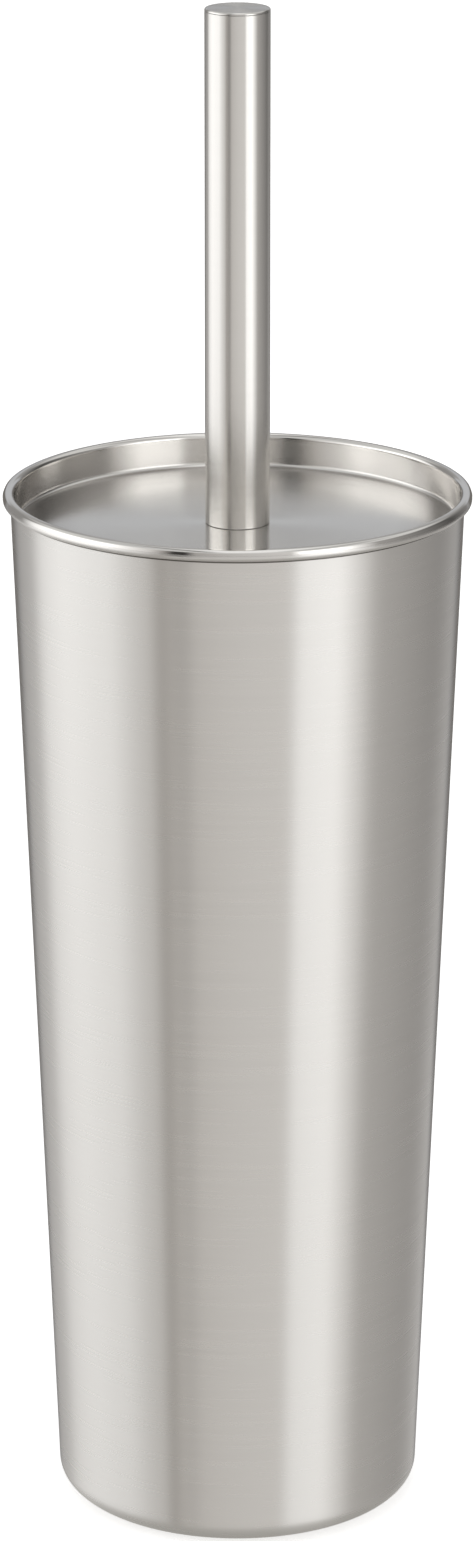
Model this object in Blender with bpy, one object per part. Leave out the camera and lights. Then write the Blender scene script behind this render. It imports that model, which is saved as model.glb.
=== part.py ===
"""Toilet brush and holder: a tapered steel canister, its drip cup, and the brush that closes it.

Metres, +Z up. The origin is on the ground under the middle of the canister, and the front faces -Y.
Every piece is round about the Z axis, so each is a turned outline: a list of (radius, height) points
that runs down the outer side and back up the inner side. The brush hangs from its own lid, whose lip
rests on the canister's rolled bead.
"""
import bpy
from math import cos, hypot, pi, radians, sin

# Overall sizes
CANISTER_HEIGHT = 0.2639       # underside of the base to the top of the bead
MOUTH_RADIUS = 0.05625         # outside of the wall, carried up to the top of the bead
BASE_RADIUS = 0.04605          # outside of the wall, carried down to the underside of the base
HANDLE_RISE = 0.1196           # top of the lid's lip to the top of the handle

# Canister
SHEET = 0.0004                 # steel sheet of the canister and of the lid
BEAD_RADIUS = 0.0011           # rolled bead round the mouth
BASE_CORNER = 0.0055           # outside radius of the corner under the wall
BASE_LAND = 0.00265            # flat ring between the corner and the raised middle
BASE_RECESS = 0.0015           # how far the middle of the base stands up
FOOT_PROUD = 0.0008            # what shows of the foot under the base

# Lid
LID_DEPTH = 0.0084             # top of the lip down to the top of the floor
LID_FILLET = 0.0012            # inside corner between the lid's wall and floor

# Drip cup
CUP_HEIGHT = 0.0660
CUP_WALL = 0.0012
CUP_DRAFT = 0.0010             # how much wider the wall is at the top than at the foot
CUP_CORNER = 0.0050
CUP_LIP = 0.0016               # how far the lip stands out of the wall

# Handle and stem
HANDLE_RADIUS = 0.0080
TUBE_WALL = 0.0008
CAP_HEAD = 0.0006              # what shows of the handle's cap
CAP_SPIGOT = 0.0050
STUD_RADIUS = 0.0040
STUD_IN_HANDLE = 0.0150
STUD_IN_STEM = 0.0130
INSERT_LENGTH = 0.0180
INSERT_WALL = 0.00095          # of the insert in the stem, which the stem fits round
WASHER_RADIUS = 0.0140
WASHER_THICK = 0.0010
BACKING_RADIUS = 0.0125
BACKING_THICK = 0.0012
NUT_WALL = 0.0022              # bore to a flat
NUT_HEIGHT = 0.0065
SHOULDER_THICK = 0.0020        # flange of the screw at the foot of the stem
HEAD_SCREW = 0.0140            # thread that goes into the head

# Brush head
HEAD_LENGTH = 0.1020           # lowest bristle to the top of the core
SOCKET_WALL = 0.0042           # of the core's neck, round the thread
CORE_SHOULDER = 0.0025         # how much wider the core's body is than its neck
SOCKET_LENGTH = 0.0140
TIP_BRISTLE = 0.0220           # lowest bristle to the foot of the core
ROW_COUNT = 8
ROW_GAP = 0.0020               # between the rims of two rows
ROW_TAPER = 0.0009             # how much thinner a row is at the core, on each side

# Clearances
GAP = 0.0003                   # between pieces that touch
CUP_CLEARANCE = 0.0040         # foot of the cup inside the canister
BRISTLE_CLEARANCE = 0.0025     # bristles inside the foot of the cup
TIP_CLEARANCE = 0.0020         # lowest bristle above the floor of the cup

# Finer and coarser rounds
LARGE_ROUND = 48
SMALL_ROUND = 24
CORE_END_STEPS = 5             # points down the round end of the core

# Radii that follow from the sizes above
BASE_RECESS_RADIUS = BASE_RADIUS - BASE_CORNER - BASE_LAND
CUP_BASE_RADIUS = BASE_RADIUS - SHEET - CUP_CLEARANCE
CUP_TOP_RADIUS = CUP_BASE_RADIUS + CUP_DRAFT
BORE_RADIUS = STUD_RADIUS + GAP
STEM_RADIUS = BORE_RADIUS + INSERT_WALL + GAP + TUBE_WALL
SOCKET_RADIUS = BORE_RADIUS + SOCKET_WALL
CORE_RADIUS = SOCKET_RADIUS + CORE_SHOULDER
BRISTLE_RADIUS = CUP_BASE_RADIUS - CUP_WALL - BRISTLE_CLEARANCE

# Heights that follow from the sizes above
BASE_Z = FOOT_PROUD
BEAD_TOP_Z = BASE_Z + CANISTER_HEIGHT
BEAD_Z = BEAD_TOP_Z - BEAD_RADIUS
LIP_TOP_Z = BEAD_TOP_Z + GAP + SHEET
LID_FLOOR_Z = LIP_TOP_Z - LID_DEPTH
HANDLE_TOP_Z = LIP_TOP_Z + HANDLE_RISE
INNER_FLOOR_Z = BASE_Z + BASE_RECESS + SHEET
CUP_BOTTOM_Z = INNER_FLOOR_Z + GAP
TIP_Z = CUP_BOTTOM_Z + CUP_WALL + TIP_CLEARANCE
CORE_TOP_Z = TIP_Z + HEAD_LENGTH
WASHER_TOP_Z = LID_FLOOR_Z - SHEET - GAP
BACKING_TOP_Z = WASHER_TOP_Z - WASHER_THICK - GAP
NUT_TOP_Z = BACKING_TOP_Z - BACKING_THICK - GAP
STEM_TOP_Z = NUT_TOP_Z - NUT_HEIGHT - GAP
SHOULDER_Z = CORE_TOP_Z + GAP
STEM_FOOT_Z = SHOULDER_Z + SHOULDER_THICK + GAP


def wall_radius(z):
    """Outside radius of the canister's straight, tapered wall at a height."""
    share = (z - BASE_Z) / CANISTER_HEIGHT
    return BASE_RADIUS + (MOUTH_RADIUS - BASE_RADIUS) * share


def arc(radius, height, size, start, end, steps):
    """Points along an arc about (radius, height), from one angle in degrees to another."""
    angles = [radians(start + (end - start) * step / steps) for step in range(steps + 1)]
    return [(radius + size * cos(angle), height + size * sin(angle)) for angle in angles]


def inside_of(path, thickness):
    """The path moved to its right by a sheet's thickness; a path down the outer side moves in."""
    moved = []
    for index, (radius, height) in enumerate(path):
        sides = []
        for first, second in ((index - 1, index), (index, index + 1)):
            if first < 0 or second >= len(path):
                continue
            run = path[second][0] - path[first][0]
            rise = path[second][1] - path[first][1]
            sides.append((rise / hypot(run, rise), -run / hypot(run, rise)))
        normal_r = sum(side[0] for side in sides) / len(sides)
        normal_z = sum(side[1] for side in sides) / len(sides)
        share = thickness / (normal_r ** 2 + normal_z ** 2)
        moved.append((radius + normal_r * share, height + normal_z * share))
    return moved


def sheet_outline(path, thickness):
    """The closed outline of a sheet whose outer face follows the path."""
    return path + inside_of(path, thickness)[::-1]


def material(name, colour, roughness, metallic=0.0):
    """A plain Principled material."""
    made = bpy.data.materials.new(name)
    made.use_nodes = True
    shader = made.node_tree.nodes["Principled BSDF"]
    shader.inputs["Base Color"].default_value = (*colour, 1.0)
    shader.inputs["Roughness"].default_value = roughness
    shader.inputs["Metallic"].default_value = metallic
    made.diffuse_color = (*colour, 1.0)
    return made


def frame(name, height, parent=None):
    """An empty on the axis at a world height, which carries one moving group."""
    made = bpy.data.objects.new(name, None)
    bpy.context.collection.objects.link(made)
    made.parent = parent
    made["world_height"] = height
    made.location.z = height - (parent["world_height"] if parent else 0.0)
    return made


def turned(name, outline, steps, finish, parent):
    """One solid, turned from an outline of (radius, height) points in world heights."""
    base = parent["world_height"]
    points = [(max(radius, 0.0), 0.0, height - base) for radius, height in outline]
    on_axis = outline[0][0] <= 0.0 and outline[-1][0] <= 0.0
    edges = [(index, index + 1) for index in range(len(points) - 1)]
    if not on_axis:
        edges.append((len(points) - 1, 0))
    mesh = bpy.data.meshes.new(name)
    mesh.from_pydata(points, edges, [])
    made = bpy.data.objects.new(name, mesh)
    bpy.context.collection.objects.link(made)
    made.parent = parent
    screw = made.modifiers.new("turn", "SCREW")
    screw.steps = steps
    screw.render_steps = steps
    screw.use_merge_vertices = True
    screw.merge_threshold = 0.00001
    screw.use_smooth_shade = True
    mesh.materials.append(finish)
    return made


def tube(name, outer, inner, top, bottom, edge, finish, parent):
    """A plain ring or tube with a small chamfer on its outer edges."""
    outline = [(inner, top), (outer - edge, top), (outer, top - edge),
               (outer, bottom + edge), (outer - edge, bottom), (inner, bottom)]
    return turned(name, outline, SMALL_ROUND, finish, parent)


def canister_shell(finish, parent):
    """Rolled bead, tapered wall, round corner and a base whose middle stands up for the foot."""
    bead_r = wall_radius(BEAD_Z) - SHEET + BEAD_RADIUS
    corner_z = BASE_Z + BASE_CORNER
    corner_r = wall_radius(corner_z) - BASE_CORNER
    bead = arc(bead_r, BEAD_Z, BEAD_RADIUS, 180, -80, 10)
    under_bead_z = BEAD_Z - BEAD_RADIUS * 1.2
    wall = [(wall_radius(under_bead_z), under_bead_z), (wall_radius(BEAD_Z / 2), BEAD_Z / 2)]
    corner = arc(corner_r, corner_z, BASE_CORNER, 0, -90, 5)
    recess_z = BASE_Z + BASE_RECESS
    base = [(BASE_RECESS_RADIUS, BASE_Z), (BASE_RECESS_RADIUS - BASE_RECESS, recess_z), (0.0, recess_z)]
    outer = wall + corner + base
    inner = inside_of(outer, SHEET)
    inner[0] = (bead_r - BEAD_RADIUS, under_bead_z)
    inner[-1] = (0.0, inner[-1][1])
    return turned("canister_shell", inner[::-1] + bead + outer, LARGE_ROUND, finish, parent)


def foot_pad(finish, parent):
    """Soft disc stuck up into the base's recess; only its edge shows under the steel."""
    outer = BASE_RECESS_RADIUS - BASE_RECESS - GAP
    top = BASE_Z + BASE_RECESS - GAP
    outline = [(0.0, top), (outer, top), (outer, 0.0), (0.0, 0.0)]
    return turned("foot_pad", outline, LARGE_ROUND, finish, parent)


def drip_cup(finish, parent):
    """Moulded cup with a little draft, a round corner and a lip to lift it by."""
    top = CUP_BOTTOM_Z + CUP_HEIGHT
    corner_r = CUP_BASE_RADIUS - CUP_CORNER
    corner_z = CUP_BOTTOM_Z + CUP_CORNER
    lip_r = CUP_TOP_RADIUS + CUP_LIP
    wall = [(CUP_TOP_RADIUS, top - CUP_WALL)]
    corner = arc(corner_r, corner_z, CUP_CORNER, 0, -90, 4)
    outer = wall + corner + [(0.0, CUP_BOTTOM_Z)]
    lip = [(CUP_TOP_RADIUS - CUP_WALL, top), (lip_r, top), (lip_r, top - CUP_WALL)]
    inner = inside_of(outer, CUP_WALL)[:0:-1]
    inner[0] = (0.0, CUP_BOTTOM_Z + CUP_WALL)
    return turned("drip_cup", inner + lip + outer, LARGE_ROUND, finish, parent)


def lid_dish(finish, parent):
    """Pressed dish: a lip over the inner half of the bead, a short wall, a fillet and a floor."""
    bead_r = wall_radius(BEAD_Z) - SHEET + BEAD_RADIUS
    bend = BEAD_RADIUS + GAP
    outer_wall = wall_radius(BEAD_Z) - SHEET - GAP
    floor_corner = LID_FILLET + SHEET
    foot_r = wall_radius(LID_FLOOR_Z) - SHEET - GAP
    floor_z = LID_FLOOR_Z - SHEET
    lip = arc(bead_r, BEAD_Z, bend, 84, 180, 6)
    corner = arc(foot_r - floor_corner, floor_z + floor_corner, floor_corner, 0, -90, 4)
    under = lip[:-1] + [(outer_wall, BEAD_Z)] + corner + [(BORE_RADIUS, floor_z)]
    return turned("lid_dish", sheet_outline(under, SHEET), LARGE_ROUND, finish, parent)


def handle_tube(finish, parent):
    """The tube that is held; it stands on the floor of the lid."""
    inner = HANDLE_RADIUS - TUBE_WALL
    top = HANDLE_TOP_Z - CAP_HEAD - GAP
    outline = [(inner, top), (HANDLE_RADIUS, top),
               (HANDLE_RADIUS, LID_FLOOR_Z + GAP), (inner, LID_FLOOR_Z + GAP)]
    return turned("handle_tube", outline, SMALL_ROUND, finish, parent)


def handle_cap(finish, parent):
    """Disc with a rounded edge and a spigot that is pressed into the tube."""
    edge = CAP_HEAD * 0.7
    head_foot = HANDLE_TOP_Z - CAP_HEAD
    spigot_r = HANDLE_RADIUS - TUBE_WALL - GAP
    round_edge = arc(HANDLE_RADIUS - edge, HANDLE_TOP_Z - edge, edge, 90, 0, 3)
    outline = [(0.0, HANDLE_TOP_Z)] + round_edge
    outline += [(HANDLE_RADIUS, head_foot), (spigot_r, head_foot),
                (spigot_r, head_foot - CAP_SPIGOT), (0.0, head_foot - CAP_SPIGOT)]
    return turned("handle_cap", outline, SMALL_ROUND, finish, parent)


def clamp_nut(finish, parent):
    """Hexagon nut under the lid: a six-sided turning, with its bore cut out."""
    top = NUT_TOP_Z
    bottom = NUT_TOP_Z - NUT_HEIGHT
    corner_r = (BORE_RADIUS + NUT_WALL) / cos(pi / 6)
    edge = NUT_HEIGHT * 0.08
    outline = [(0.0, top), (corner_r - edge, top), (corner_r, top - edge),
               (corner_r, bottom + edge), (corner_r - edge, bottom), (0.0, bottom)]
    made = turned("clamp_nut", outline, 6, finish, parent)
    bore = [(0.0, top + BACKING_THICK), (BORE_RADIUS, top + BACKING_THICK),
            (BORE_RADIUS, bottom - BACKING_THICK), (0.0, bottom - BACKING_THICK)]
    cutter = turned("clamp_nut_bore", bore, SMALL_ROUND, finish, parent)
    cutter.hide_render = True
    cutter.display_type = "WIRE"
    cut = made.modifiers.new("bore", "BOOLEAN")
    cut.operation = "DIFFERENCE"
    cut.solver = "EXACT"
    cut.object = cutter
    return made


def threaded_stud(finish, parent):
    """Rod through the lid that ties the handle to the stem."""
    edge = STUD_RADIUS * 0.15
    top = LID_FLOOR_Z + STUD_IN_HANDLE
    bottom = STEM_TOP_Z - STUD_IN_STEM
    outline = [(0.0, top), (STUD_RADIUS - edge, top), (STUD_RADIUS, top - edge),
               (STUD_RADIUS, bottom + edge), (STUD_RADIUS - edge, bottom), (0.0, bottom)]
    return turned("threaded_stud", outline, SMALL_ROUND, finish, parent)


def stem_end_screw(finish, parent):
    """Plug in the foot of the stem, a shoulder, and the thread that goes into the head."""
    plug_r = STEM_RADIUS - TUBE_WALL - GAP
    edge = STUD_RADIUS * 0.15
    shoulder_top = SHOULDER_Z + SHOULDER_THICK
    plug_top = shoulder_top + INSERT_LENGTH
    tip = SHOULDER_Z - HEAD_SCREW
    outline = [(0.0, plug_top), (plug_r, plug_top), (plug_r, shoulder_top), (STEM_RADIUS, shoulder_top),
               (STEM_RADIUS, SHOULDER_Z), (STUD_RADIUS, SHOULDER_Z), (STUD_RADIUS, tip + edge),
               (STUD_RADIUS - edge, tip), (0.0, tip)]
    return turned("stem_end_screw", outline, SMALL_ROUND, finish, parent)


def core_foot_z():
    """Height of the middle of the round end of the core."""
    return TIP_Z + TIP_BRISTLE + CORE_RADIUS


def brush_core(finish, parent):
    """Moulded core: a neck with the threaded socket, a body and a round end."""
    neck_foot = CORE_TOP_Z - SOCKET_LENGTH
    shoulder = neck_foot - CORE_SHOULDER
    bore_foot = SHOULDER_Z - HEAD_SCREW - GAP
    outline = [(0.0, bore_foot), (BORE_RADIUS, bore_foot), (BORE_RADIUS, CORE_TOP_Z),
               (SOCKET_RADIUS, CORE_TOP_Z), (SOCKET_RADIUS, neck_foot), (CORE_RADIUS, shoulder)]
    outline += arc(0.0, core_foot_z(), CORE_RADIUS, 0, -90, CORE_END_STEPS)
    outline[-1] = (0.0, outline[-1][1])
    return turned("brush_core", outline, SMALL_ROUND, finish, parent)


def bristle_row(number, finish, parent):
    """One row of tufts round the core, a little thicker at its rim; the rows share the core's body."""
    inner = CORE_RADIUS + GAP
    foot = core_foot_z() + GAP
    top = CORE_TOP_Z - SOCKET_LENGTH - CORE_SHOULDER
    pitch = (top - foot) / ROW_COUNT
    thick = pitch - ROW_GAP
    high = top - pitch * (number - 1)
    low = high - thick
    taper = min(ROW_TAPER, thick * 0.3)
    outline = [(inner, high - taper), (BRISTLE_RADIUS, high), (BRISTLE_RADIUS, low), (inner, low + taper)]
    return turned(f"bristle_row_{number}", outline, SMALL_ROUND, finish, parent)


def bristle_tip(finish, parent):
    """The tufts that fan out over the round end of the core: a bowl with a domed underside."""
    middle = core_foot_z() - ROW_GAP / 2
    drop = middle - TIP_Z
    steps = 7
    fan = [(BRISTLE_RADIUS * cos(radians(90 * step / steps)), middle - drop * sin(radians(90 * step / steps)))
           for step in range(steps)]
    hollow = CORE_RADIUS + GAP
    bowl = arc(0.0, core_foot_z(), hollow, -90, 0, CORE_END_STEPS)[:-1]
    bowl[0] = (0.0, bowl[0][1])
    outline = bowl + [(hollow, middle)] + fan + [(0.0, TIP_Z)]
    return turned("bristle_tip", outline, SMALL_ROUND, finish, parent)


def build():
    """Makes every piece, grouped under the four empties of the bodies that move."""
    for old in list(bpy.data.objects):
        bpy.data.objects.remove(old, do_unlink=True)

    brushed = material("brushed_steel", (0.62, 0.61, 0.59), 0.30, 1.0)
    plated = material("plated_steel", (0.55, 0.56, 0.57), 0.25, 1.0)
    rubber = material("black_rubber", (0.03, 0.03, 0.03), 0.75)
    plastic = material("grey_plastic", (0.42, 0.43, 0.44), 0.45)
    core_plastic = material("white_plastic", (0.80, 0.80, 0.78), 0.40)
    nylon = material("white_nylon", (0.86, 0.87, 0.86), 0.55)

    holder = frame("holder_frame", 0.0)
    cup = frame("cup_frame", CUP_BOTTOM_Z, holder)
    brush = frame("brush_frame", LIP_TOP_Z, cup)
    head = frame("head_frame", SHOULDER_Z, brush)

    canister_shell(brushed, holder)
    foot_pad(rubber, holder)
    drip_cup(plastic, cup)

    lid_dish(brushed, brush)
    handle_tube(brushed, brush)
    handle_cap(brushed, brush)
    insert_r = HANDLE_RADIUS - TUBE_WALL - GAP
    insert_foot = LID_FLOOR_Z + GAP
    tube("handle_insert", insert_r, BORE_RADIUS, insert_foot + INSERT_LENGTH, insert_foot, GAP, plated, brush)
    threaded_stud(plated, brush)
    tube("lid_washer", WASHER_RADIUS, BORE_RADIUS, WASHER_TOP_Z, WASHER_TOP_Z - WASHER_THICK,
         WASHER_THICK * 0.2, rubber, brush)
    tube("backing_washer", BACKING_RADIUS, BORE_RADIUS, BACKING_TOP_Z, BACKING_TOP_Z - BACKING_THICK,
         BACKING_THICK * 0.2, plated, brush)
    clamp_nut(plated, brush)
    stem_bore = STEM_RADIUS - TUBE_WALL
    tube("stem_tube", STEM_RADIUS, stem_bore, STEM_TOP_Z, STEM_FOOT_Z, TUBE_WALL * 0.3, brushed, brush)
    tube("stem_insert", stem_bore - GAP, BORE_RADIUS, STEM_TOP_Z, STEM_TOP_Z - INSERT_LENGTH, GAP,
         plated, brush)
    stem_end_screw(plated, brush)

    brush_core(core_plastic, head)
    for number in range(1, ROW_COUNT + 1):
        bristle_row(number, nylon, head)
    bristle_tip(nylon, head)


build()
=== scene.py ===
# %% [markdown]
# # A brushed steel toilet brush holder
#
# The real object is a tapered steel canister with a rolled rim. A shallow dish of a lid lies on
# that rim, and a steel tube stands up from it as the handle. Under the lid hang the stem and the
# brush. The CAD model already says where everything is and how it moves, so this lesson only makes
# the looks: finer surfaces on the same places, and finishes worked out by rule instead of by
# picture.

# %% Load the fixed frame
from math import cos, pi, radians, sin, tan

import bpy
import numpy as np
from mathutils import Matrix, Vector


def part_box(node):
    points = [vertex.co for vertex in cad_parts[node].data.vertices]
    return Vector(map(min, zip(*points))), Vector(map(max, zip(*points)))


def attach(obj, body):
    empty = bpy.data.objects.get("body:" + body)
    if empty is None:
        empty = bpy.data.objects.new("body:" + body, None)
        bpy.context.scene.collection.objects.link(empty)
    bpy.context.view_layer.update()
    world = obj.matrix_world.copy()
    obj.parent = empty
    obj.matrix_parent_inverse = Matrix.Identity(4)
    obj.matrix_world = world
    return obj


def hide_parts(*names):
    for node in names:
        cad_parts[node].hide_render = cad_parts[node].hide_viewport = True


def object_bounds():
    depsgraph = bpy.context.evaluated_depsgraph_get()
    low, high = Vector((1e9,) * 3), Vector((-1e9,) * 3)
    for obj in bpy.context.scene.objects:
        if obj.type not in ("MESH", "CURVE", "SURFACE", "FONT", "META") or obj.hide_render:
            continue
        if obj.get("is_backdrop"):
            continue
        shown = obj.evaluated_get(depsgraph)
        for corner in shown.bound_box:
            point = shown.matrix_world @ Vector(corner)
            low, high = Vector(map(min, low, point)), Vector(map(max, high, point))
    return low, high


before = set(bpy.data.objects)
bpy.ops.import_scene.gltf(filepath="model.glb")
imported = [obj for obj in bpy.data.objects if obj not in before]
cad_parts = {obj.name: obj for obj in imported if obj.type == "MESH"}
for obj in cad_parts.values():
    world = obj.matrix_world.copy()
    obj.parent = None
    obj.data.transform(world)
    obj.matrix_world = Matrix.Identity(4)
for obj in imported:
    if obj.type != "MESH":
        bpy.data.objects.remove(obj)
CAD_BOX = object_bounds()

print("CAD nodes:", len(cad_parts))

# %% [markdown]
# ## Camera
#
# A long lens a good metre away keeps the two sides of the canister nearly parallel, as a catalogue
# picture does. The camera stands above the rim and looks down, so the lid's floor shows. It comes
# first because every later choice, such as how fine a round must be, is judged through it. The lens
# isn't shifted and nothing is blurred, so the same camera can be carried round the object.

# %% Camera
CAMERA_PLACE = (0.0, -1.3464, 0.6210)
CAMERA_LOOKS_DOWN = radians(17.66)
LENS_MM = 131.5

lens = bpy.data.cameras.new("catalogue_lens")
lens.lens = LENS_MM
lens.sensor_width = 36.0
lens.dof.use_dof = False
camera = bpy.data.objects.new("catalogue_camera", lens)
camera.location = CAMERA_PLACE
camera.rotation_euler = (pi / 2 - CAMERA_LOOKS_DOWN, 0.0, 0.0)
bpy.context.scene.collection.objects.link(camera)
bpy.context.scene.camera = camera
print(f"camera {-CAMERA_PLACE[1]:.2f} m in front, {CAMERA_PLACE[2]:.2f} m up, {LENS_MM} mm lens")

# %% [markdown]
# ## Sizes
#
# Heights and outer radii are read from the CAD nodes, so a change there carries through to here. A
# box can't tell how thick a sheet is or how a wall tapers, so those few sizes are written down.

# %% Sizes read from the frame


def span(node):
    """Lowest height, highest height and outer radius of a CAD node that is round about Z."""
    low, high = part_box(node)
    return low.z, high.z, max(abs(low.x), high.x)


SHEET = 0.0004                 # steel of the canister and the lid
BEAD_RADIUS = 0.0011           # rolled rim, outside
GAP = 0.0003                   # CAD clearance between two touching pieces
MOUTH_RADIUS = 0.05625         # outside of the wall, carried up to the top of the rim
BASE_RADIUS = 0.04605          # outside of the wall, carried down to the base
BASE_CORNER = 0.0055
BASE_LAND = 0.00265
BASE_RECESS = 0.0015
LID_FILLET = 0.0012
TUBE_WALL = 0.0008
BORE_RADIUS = 0.0043
STUD_RADIUS = 0.0040

BASE_Z, BEAD_TOP_Z, BEAD_OUTER = span("canister_shell")
BEAD_Z = BEAD_TOP_Z - BEAD_RADIUS
LID_UNDER_Z, LIP_TOP_Z, _ = span("lid_dish")
LID_FLOOR_Z = LID_UNDER_Z + SHEET
_, HANDLE_TUBE_TOP_Z, HANDLE_RADIUS = span("handle_tube")


def wall_radius(z):
    """Outside radius of the canister's tapered wall: it grows in a straight line with height."""
    share = (z - BASE_Z) / (BEAD_TOP_Z - BASE_Z)
    return BASE_RADIUS + (MOUTH_RADIUS - BASE_RADIUS) * share


print(f"rim {BEAD_OUTER * 2000:.1f} mm across,",
      f"lid floor {(LIP_TOP_Z - LID_FLOOR_Z) * 1000:.1f} mm down")

# %% [markdown]
# ## Outlines
#
# Nearly every piece here is round, made on a lathe, a spinning machine or a mould. Such a piece is
# one outline in a half plane, carried round the axis. The outline is a list of (radius, height)
# points. Real edges are never knife sharp, so a helper rounds each corner, and a second helper lays
# a sheet's other face beside the first.

# %% Outline helpers
HOLD = 0.25                    # a flat gets one more point this share of a fillet away from its end


def arc(centre, size, start, end, steps):
    """Points on a circle: centre plus size times (cos, sin) of evenly spaced angles in degrees."""
    angle = np.radians(np.linspace(start, end, steps + 1))
    return np.asarray(centre) + size * np.stack([np.cos(angle), np.sin(angle)], axis=1)


def rounded(corners, steps=6):
    """A path through (radius, height, fillet) corners. At a corner with half angle h between its
    sides, the fillet's circle touches each side at fillet / tan(h) and has its centre on the
    bisector at fillet / sin(h). The two end points stay as they are."""
    corners = np.asarray(corners, float)
    path = [corners[:1, :2]]
    for before, here, after in zip(corners[:-2], corners[1:-1], corners[2:]):
        size = here[2]
        if size <= 0.0:
            path.append(here[None, :2])
            continue
        back = before[:2] - here[:2]
        on = after[:2] - here[:2]
        back /= np.hypot(*back)
        on /= np.hypot(*on)
        half = np.arccos(np.clip(back @ on, -1.0, 1.0)) / 2
        bisector = (back + on) / np.hypot(*(back + on))
        centre = here[:2] + bisector * size / np.sin(half)
        first = here[:2] + back * size / np.tan(half)
        last = here[:2] + on * size / np.tan(half)
        turn = np.linspace(0.0, 1.0, steps + 1)[:, None]
        total = pi - 2 * half
        swing = (np.sin((1 - turn) * total) * (first - centre)
                 + np.sin(turn * total) * (last - centre))
        bend = centre + swing / np.sin(total)
        hold = size * HOLD
        path += [(first + back * hold)[None], bend, (last + on * hold)[None]]
    path.append(corners[-1:, :2])
    return np.concatenate(path)


def moved_in(path, thickness):
    """The path moved to its right by a thickness: each point goes along the mean of the normals of
    its two sides, and further at a corner, so that both sides keep their distance."""
    run = np.diff(path, axis=0)
    run /= np.hypot(run[:, 0], run[:, 1])[:, None]
    right = np.stack([run[:, 1], -run[:, 0]], axis=1)
    mean = np.concatenate([right[:1], (right[:-1] + right[1:]) / 2, right[-1:]])
    return path + mean * thickness / (mean ** 2).sum(axis=1)[:, None]


square_corner = rounded([(0, 0, 0), (5, 0, 1), (5, 5, 0)])
print("a 1 mm fillet on a square corner has", len(square_corner), "points")

# %% [markdown]
# ## Turning an outline into a surface
#
# A lathe's work is a surface with two parameters: how far along the outline, and how far round.
# The whole grid of points comes from one array product, and its faces from shifted copies of one
# grid of numbers. Where the outline starts or ends on the axis, its ring shrinks to a single
# point, so the pole is closed with triangles and not with slivers. Each point also keeps its
# distance along the outline, in metres, so that a brushed finish can follow the metal round its
# bends.

# %% Turned surfaces
FINE_ROUND = 224               # steps round the large pieces
ROUND = 96                     # steps round the tubes and washers
ON_AXIS = 1e-7
SHARP_ANGLE = radians(38)


def mesh_piece(name, points, faces, finish, run=None):
    """A smooth-shaded mesh object at the origin, with edges sharper than SHARP_ANGLE kept crisp."""
    mesh = bpy.data.meshes.new(name)
    mesh.from_pydata(points.tolist(), [], faces)
    mesh.shade_smooth()
    mesh.set_sharp_from_angle(angle=SHARP_ANGLE)
    if run is not None:
        along = mesh.attributes.new("run", "FLOAT", "POINT")
        along.data.foreach_set("value", run.astype(np.float32))
    mesh.materials.append(finish)
    piece = bpy.data.objects.new(name, mesh)
    bpy.context.scene.collection.objects.link(piece)
    return piece


def turned(name, path, finish, around=ROUND):
    """Point (i, j) is (r_i cos a_j, r_i sin a_j, z_i), with a_j = 2 pi j / around. The path runs up
    the inner side and down the outer side. It ends on the axis at both ends or closes on itself."""
    path = np.asarray(path, float)
    opens_on_axis = path[0, 0] < ON_AXIS
    closes_on_axis = path[-1, 0] < ON_AXIS
    ring = path[(1 if opens_on_axis else 0):(len(path) - 1 if closes_on_axis else len(path))]
    angle = np.linspace(0.0, 2 * pi, around, endpoint=False)
    circle = np.stack([np.cos(angle), np.sin(angle)], axis=1)
    flat = ring[:, None, :1] * circle[None]
    high = np.broadcast_to(ring[:, None, 1:], (len(ring), around, 1))
    points = np.concatenate([flat, high], axis=2).reshape(-1, 3)
    step = np.concatenate([[0.0], np.hypot(*np.diff(path, axis=0).T)]).cumsum()
    run = np.repeat(step[(1 if opens_on_axis else 0):][:len(ring)], around)

    number = np.arange(len(ring) * around).reshape(len(ring), around)
    if not (opens_on_axis or closes_on_axis):
        number = np.concatenate([number, number[:1]])
    ahead = np.roll(number, -1, axis=1)
    quads = np.stack([number[:-1], number[1:], ahead[1:], ahead[:-1]], axis=2).reshape(-1, 4)
    faces = quads.tolist()
    poles = []
    if opens_on_axis:
        poles.append((0, number[0], ahead[0]))
    if closes_on_axis:
        poles.append((-1, ahead[-1], number[-1]))
    for end, first, second in poles:
        pole = np.full(around, len(points))
        faces += np.stack([pole, first, second], axis=1).tolist()
        points = np.concatenate([points, [[0.0, 0.0, path[end, 1]]]])
        run = np.append(run, step[end])
    return mesh_piece(name, points, faces, finish, run)


def fit(piece, body, slot, *nodes):
    """The piece rides on a body and stands for the CAD nodes, which are hidden; slot is not used.
    """
    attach(piece, body)
    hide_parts(*nodes)
    print(f"{piece.name}: {len(piece.data.polygons)} faces")
    return piece


# %% [markdown]
# ## Shader maths in Python
#
# A finish is a sum of small patterns, and a node tree hides the sum in boxes and wires. A wrapped
# socket with the usual operators lets the same sum be read as one line. Every other node comes from
# one method that sets the node up first and connects it afterwards.

# %% Shader helper


class Signal:
    """One output socket. Plus, minus, times, divide and power on it add Math nodes."""

    def __init__(self, tree, socket):
        self.tree = tree
        self.socket = socket

    def maths(self, operation, first, second):
        """A Math node on two values."""
        return self.tree.node("ShaderNodeMath", {"operation": operation}, {0: first, 1: second})

    def __add__(self, other):
        return self.maths("ADD", self, other)

    def __sub__(self, other):
        return self.maths("SUBTRACT", self, other)

    def __rsub__(self, other):
        return self.maths("SUBTRACT", other, self)

    def __mul__(self, other):
        return self.maths("MULTIPLY", self, other)

    def __truediv__(self, other):
        return self.maths("DIVIDE", self, other)

    def __pow__(self, other):
        return self.maths("POWER", self, other)

    __radd__ = __add__
    __rmul__ = __mul__


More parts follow.
